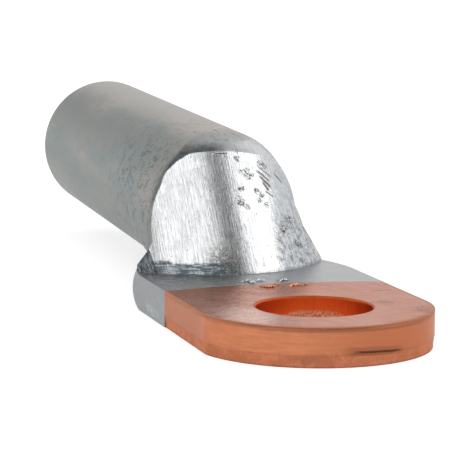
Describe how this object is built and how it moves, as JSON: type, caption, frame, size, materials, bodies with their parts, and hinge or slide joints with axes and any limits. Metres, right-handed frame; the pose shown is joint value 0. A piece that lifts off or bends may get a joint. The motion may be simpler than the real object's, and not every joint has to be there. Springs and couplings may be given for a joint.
{
  "type": "bimetallic cable lug",
  "caption": "Bimetallic cable lug: a flat copper palm with a rounded end and a stud hole, welded to an aluminium barrel with a leaning pressed shoulder and a blind bore for a stranded cable.",
  "frame": {"origin": "centre of the stud hole on the seating face of the palm", "axes": "+Z along the stud, out of the seating face and up through the palm; +Y from the stud hole back to the cable mouth"},
  "size_m": [0.026, 0.1047, 0.024],
  "materials": {
    "aluminium": "matte drawn barrel, brighter pressed shoulder with drag marks",
    "copper": "satin copper, sheared edge"
  },
  "bodies": {
    "root": {"aluminium_body": "aluminium", "copper_palm": "copper"}
  },
  "joints": []
}
